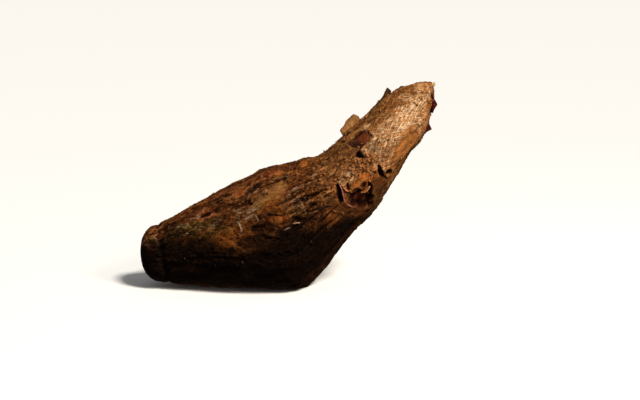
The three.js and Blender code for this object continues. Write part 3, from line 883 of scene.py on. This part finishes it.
def makeSpikes(name, use, columns, tones):
    # paths from under the bark outwards, leaning by a share of their length, that waver
    # and taper more towards the point
    along, turn, length, radius, lean = columns
    foot = onRelief(along, turn, -use["sunk"])
    head = onRelief(along, turn, length - use["broken"])
    head[:, 0] += lean * length
    share = np.linspace(0, 1, use["steps"])
    paths = foot[:, None] + (head - foot)[:, None] * share[:, None]
    waver = layered(paths, use["waverSize"], 2, use["seed"]) * share
    paths = paths + waver[..., None] * use["waver"]
    radii = radius[:, None] * (1 - use["taper"] * share - use["blunt"] * smooth(0.75, 1, share))
    reference = np.broadcast_to(frameAt(along, turn)[1][:, None], paths.shape) + use["aside"]
    return makeTubes(name, paths, radii, use["sides"], reference, tones)


def makeStubs(use):
    i = np.arange(use["count"])
    along, turn = 0.1 + 0.78 * (i + 0.5) / use["count"], 0.31 * np.sin(1 + 2.4 * i)
    length, radius = 1.8 + 0.8 * np.sin(4.1 * i), 0 * i + use["radius"]
    columns = (along, turn, length, radius, 0.5 * np.sin(2.3 * i))
    return makeSpikes("rootletStubs", use, columns, 0.5 + 0.5 * np.sin(3.7 * i))


settle(makeStubs(stubForm))
slivers = readTable(splinterForm["slivers"], 2)
settle(makeSpikes("cutSplinters", splinterForm, slivers.T, np.array(splinterForm["tones"])))


def toLinear(hexText):
    # sRGB hex to linear light
    parts = [int(hexText[i:i + 2], 16) / 255 for i in (1, 3, 5)]
    return tuple(p / 12.92 if p <= 0.04045 else ((p + 0.055) / 1.055) ** 2.4 for p in parts) + (1,)


def addNode(tree, kind, settings):
    # one node; each setting is for its property or socket of that name, and another node's
    # socket is linked to it
    node = tree.nodes.new("ShaderNode" + kind)
    for key, value in settings.items():
        if isinstance(value, bpy.types.NodeSocket):
            tree.links.new(value, node.inputs[key])
        elif isinstance(key, str) and hasattr(node, key):
            setattr(node, key, value)
        else:
            node.inputs[key].default_value = value
    return node


# dry cork: its pores swallow most of what would glint
corkGloss = {"IOR": 1.45, "Specular IOR Level": 0.03}

barkLook = {
    # fresh cassava bark: thin dry cork over a waxy skin, matt with a faint gloss where bare
    "masks": ["neck", "crest", "cavityShade", "hollow", "underShade", "cracked", "rough", "wood", "patch",
              "paleLine", "darkLine", *patches],
    "coordinates": ["flow", "flowLeft", "flowRight"],
    # noise patterns: coordinates, size across and along in mm, detail, and the values of the
    # noise that become 0 and 1
    "patterns": {
        "blotch": ("flow", 8, 18, 4, 0.38, 0.62),       # stains the size of a thumbprint
        "fleck": ("flow", 2.6, 4.2, 4, 0.45, 0.62),     # scraps of cork 1 to 3 mm wide
        "gap": ("flow", 2.2, 3.4, 4, 0.48, 0.34),       # dark spots between the scraps
        "streak": ("flow", 1.1, 9, 4, 0.48, 0.64),      # bundles of fibre about 1 mm wide
        "grit": ("flow", 1.1, 1.6, 3, 0.5, 0.66),       # soil and torn cork
        "netLeft": ("flowLeft", 1.3, 8, 3, 0.5, 0.6),   # crossed fibres of the neck
        "netRight": ("flowRight", 1.3, 8, 3, 0.5, 0.6),
        "scratch": ("flowRight", 0.8, 10, 2, 0.6, 0.66),
        "fibre": ("flow", 0.8, 6, 5, 0, 1), "crumb": ("flow", 1, 1.4, 4, 0, 1),
        "scrap": ("flow", 0.9, 1.8, 3, 0.4, 0.54),      # what is left of a scuffed line
        # ending in 0: thin lines where the noise passes its middle, fading at this distance
        "split": ("flow", 5, 40, 3, 0.028, 0), "groove": ("flow", 3.2, 34, 2, 0.05, 0),
        "thread": ("flow", 1.5, 13, 3, 0.045, 0),
    },
    "base": "#361a0a",
    # colours laid over the base: colour, strength, and the masks whose product places it
    "layers": [
        ("#713a12", 1, "blotch"), ("#9a5c28", 0.65, "fleck"), ("#4f4018", 0.55, "olive"),
        ("#85692e", 0.55, "olive fleck"), ("#8e421c", 0.8, "rust"), ("#c87e50", 0.75, "rust fleck"),
        ("#8f5f32", 0.85, "tan"), ("#a06a34", 0.6, "tan streak"), ("#95592a", 0.85, "neck"),
        ("#70401a", 0.6, "neck blotch"), ("#9a561c", 0.75, "ochre"), ("#b4591c", 0.9, "torn"),
        ("#c48c50", 0.5, "neck netLeft"), ("#c48c50", 0.5, "neck netRight"), ("#c58a50", 0.6, "bright"),
        ("#f4cda2", 0.75, "bright netLeft"), ("#f4cda2", 0.75, "bright netRight"),
        ("#b8743a", 0.9, "bare ochre neck"), ("#40201a", 0.95, "patch"), ("#57301a", 0.7, "patch streak"),
        ("#7c3c1c", 0.65, "red"), ("#3c1a10", 0.6, "patch gap"), ("#c08a54", 0.45, "streak crest"),
        ("#a08a66", 0.6, "pale fleck"), ("#96704e", 0.5, "scratched scratch"),
        ("#a87444", 0.45, "grooved streak"), ("#c4864e", 0.8, "mottled fleck"),
        ("#42200c", 0.5, "mottled gap"), ("#2a1206", 0.8, "gap rough"), ("#1d0b04", 0.5, "thread rough"),
        ("#241006", 0.5, "grit rough"), ("#120602", 0.85, "split cracked"),
        # 1e0c05 darkens the soil spots: soil stains, and painted shade in some of them
        ("#160803", 0.85, "groove grooved"), ("#b8682e", 0.85, "orange"), ("#1e0c05", 0.75, "soilAndShade"),
        # 40190c darkens the dug-in pocket, slit and pits: the torn skin's red-brown with painted shade in
        # their depth; #140703 is painted shade in what lies low
        ("#40190c", 0.85, "hollow"), ("#140703", 0.85, "cavityShade"), ("#a88566", 0.85, "paleLine scrap"),
        # 0c0603 is painted shade, nearly black, on the underside
        ("#110502", 0.92, "darkLine"), ("#0c0603", 0.95, "underShade"), ("#dcbd88", 1, "wood"),
        ("#a67c4a", 0.8, "wood fleck"),
    ],
    # the bump: each pattern's share of its depth in mm
    "bumpDepth": 0.8,
    "bump": {"fibre": 0.7, "crumb": 0.6, "split": -0.8, "groove": -0.6, "netLeft": 0.3, "netRight": 0.3},
    "roughness": 0.75, "bareRoughness": 0.5,
}


def makeMaterial(name, settings):
    material = bpy.data.materials.new(name)
    material.use_nodes = True
    tree = material.node_tree
    tree.nodes.clear()
    shader = addNode(tree, "BsdfPrincipled", settings)
    addNode(tree, "OutputMaterial", {"Surface": shader.outputs[0]})
    return material, tree, shader.inputs


def readSurface(tree, use):
    # the masks, coordinates and noise patterns of a look, each as a node's output
    read = {}
    for key, output in (("masks", "Fac"), ("coordinates", "Vector")):
        for name in use[key]:
            read[name] = addNode(tree, "Attribute", {"attribute_name": name}).outputs[output]
    for name, (place, across, lengthwise, detail, low, high) in use["patterns"].items():
        size = (1 / across, 1 / across, 1 / lengthwise)
        cells = addNode(tree, "VectorMath", {"operation": "MULTIPLY", 0: read[place], 1: size})
        value = addNode(tree, "TexNoise", {"Vector": cells.outputs[0], "Scale": 1, "Detail": detail,
                                           "Roughness": 0.6}).outputs["Fac"]
        if high == 0:
            value = addNode(tree, "Math", {"operation": "SUBTRACT", 0: value, 1: 0.5}).outputs[0]
            value = addNode(tree, "Math", {"operation": "ABSOLUTE", 0: value}).outputs[0]
        read[name] = addNode(tree, "MapRange", {"interpolation_type": "SMOOTHSTEP", "Value": value,
                                                "From Min": low, "From Max": high}).outputs[0]
    return read


def barkMaterial(name, use):
    # the layers one over the other on the base colour, and the bump as a weighted sum
    material, tree, shader = makeMaterial(name, {**corkGloss, "Roughness": use["roughness"]})
    read = readSurface(tree, use)
    colour, height = toLinear(use["base"]), 0
    for tint, strength, masks in use["layers"]:
        share, *factors = [read[mask] for mask in masks.split()] + [strength]
        for factor in factors:
            share = addNode(tree, "Math", {"operation": "MULTIPLY", 0: share, 1: factor}).outputs[0]
        colour = addNode(tree, "Mix", {"data_type": "RGBA", 0: share, 6: colour,
                                       7: toLinear(tint)}).outputs[2]
    tree.links.new(colour, shader["Base Color"])
    for pattern, weight in use["bump"].items():
        height = addNode(tree, "Math", {"operation": "MULTIPLY_ADD", 0: read[pattern], 1: weight,
                                        2: height}).outputs[0]
    bump = addNode(tree, "Bump", {"Strength": 1, "Distance": use["bumpDepth"] * mm, "Height": height})
    tree.links.new(bump.outputs[0], shader["Normal"])
    if "bareRoughness" in use:
        shine = addNode(tree, "MapRange", {"Value": read["bare"], "To Min": use["roughness"],
                                           "To Max": use["bareRoughness"]})
        tree.links.new(shine.outputs[0], shader["Roughness"])
    return material


def tornLook(base, light, rim, inner, roughness=0.8):
    # torn bark or fibre: dry and matt, streaked with light the way it grew
    return {
        "masks": ["rim", "inner", "tone", "neck", "underShade"], "coordinates": ["flow"],
        "patterns": {
            "streak": ("flow", 0.9, 5, 4, 0.42, 0.62), "spot": ("flow", 1.6, 2.2, 4, 0.5, 0.66),
            "fibre": ("flow", 0.7, 4, 4, 0, 1),
        },
        "base": base,
        "layers": [(light, 0.75, "streak"), (inner, 0.9, "inner"), (rim, 0.8, "rim"),
                   # 140804 is painted shade on the torn pieces' underside, as on the root
                   (base, 0.6, "spot"), ("#140804", 0.85, "underShade")],
        "bumpDepth": 0.4, "bump": {"fibre": 1}, "roughness": roughness,
    }


tornLooks = {
    # piece: base, light streaks, rim and inner side
    "neckFlap": tornLook("#8a5a2e", "#b98a58", "#4a2a14", "#a8763f"),
    "neckSliver": tornLook("#3a2212", "#6b4526", "#2a170c", "#4a2c17"),
    "cutPeel": tornLook("#2c0a0a", "#54201a", "#3c120e", "#451512"),
    "scarLips": tornLook("#8a4a1c", "#b06c34", "#c08a5c", "#7a3a18"),
    "slitLip": tornLook("#8e4a3c", "#c98a78", "#7a3a28", "#8e4a3c", 0.6),
    "barkCurls": tornLook("#6b3c20", "#a87858", "#c79a80", "#c49078"),
    "corkFlakes": tornLook("#3d2413", "#6b4626", "#7d5836", "#4a2c17"),
    "paleFibres": tornLook("#6e5540", "#9a8064", "#5a4430", "#8a6f54"),
    "rootletStubs": tornLook("#3a2212", "#5c3c24", "#5a3c24", "#3a2212"),
    "cutSplinters": tornLook("#c9a468", "#ecd2a0", "#f0dcb0", "#c9a468"),
}
# flakes are paler on the neck and differ from one another, and the neck's fibres are pale
tornLooks["corkFlakes"]["layers"][-1:-1] = [
    ("#9a6236", 0.8, "neck"), ("#c88a54", 0.6, "neck tone"), ("#6e4424", 0.5, "tone"),
]
tornLooks["paleFibres"]["layers"].append(("#f4dcbe", 0.9, "tone"))

rootBark.data.materials.append(barkMaterial("cassavaBark", barkLook))
for pieceName, pieceLook in tornLooks.items():
    bpy.data.objects[pieceName].data.materials.append(barkMaterial(pieceName + "Bark", pieceLook))
print("bark painted")


stageLook = {
    "floor": "#f1f0ee", "floorHalf": 30000, "floorRoughness": 0.9,  # half its side in mm
    "sky": "#ffffff", "skyStrength": 0.24,
}


def makeStage(use):
    # matt paper to the horizon under an even sky
    corners = np.array([(-1, -1, 0), (1, -1, 0), (1, 1, 0), (-1, 1, 0)]) * use["floorHalf"]
    floor = makeMesh("floor", corners, [(0, 1, 2, 3)])
    settings = {"Base Color": toLinear(use["floor"]), "Roughness": use["floorRoughness"]}
    floor.data.materials.append(makeMaterial("paleFloor", settings)[0])
    floor.visible_diffuse = False  # its white doesn't light the root from below
    floor.visible_glossy = False   # nor glint on it
    world = bpy.data.worlds.new("studio")
    world.use_nodes = True
    sky = world.node_tree.nodes["Background"].inputs
    sky["Color"].default_value = toLinear(use["sky"])
    sky["Strength"].default_value = use["skyStrength"]
    bpy.context.scene.world = world
    bpy.context.scene.view_settings.view_transform = "Standard"


lamps = {
    # kind, where it stands in mm, size in mm or spread in degrees, strength, colour
    "key": ("SUN", (560, -500, 950), 12, 3.7, "#fffaf2"),
    "neckGlow": ("AREA", (360, -380, 430), 160, 2, "#ffeed8"),
}


def makeLamp(name, kind, where, size, power, colour):
    # turned from where it stands to the middle of the view
    light = bpy.data.lights.new(name, kind)
    if kind == "SUN":
        light.angle = math.radians(size)
    else:
        light.shape = "DISK"
        light.size = size * mm
    light.energy = power
    light.color = toLinear(colour)[:3]
    lamp = addObject(name, light)
    lamp.location = np.array(where) * mm
    aim = np.array(cameraSettings["target"]) - where
    tilt, turn = math.acos(-aim[2] / np.linalg.norm(aim)), math.atan2(aim[1], aim[0])
    lamp.rotation_euler = (tilt, 0, turn - math.pi / 2)


makeStage(stageLook)
for lampName, lampSettings in lamps.items():
    makeLamp(lampName, *lampSettings)
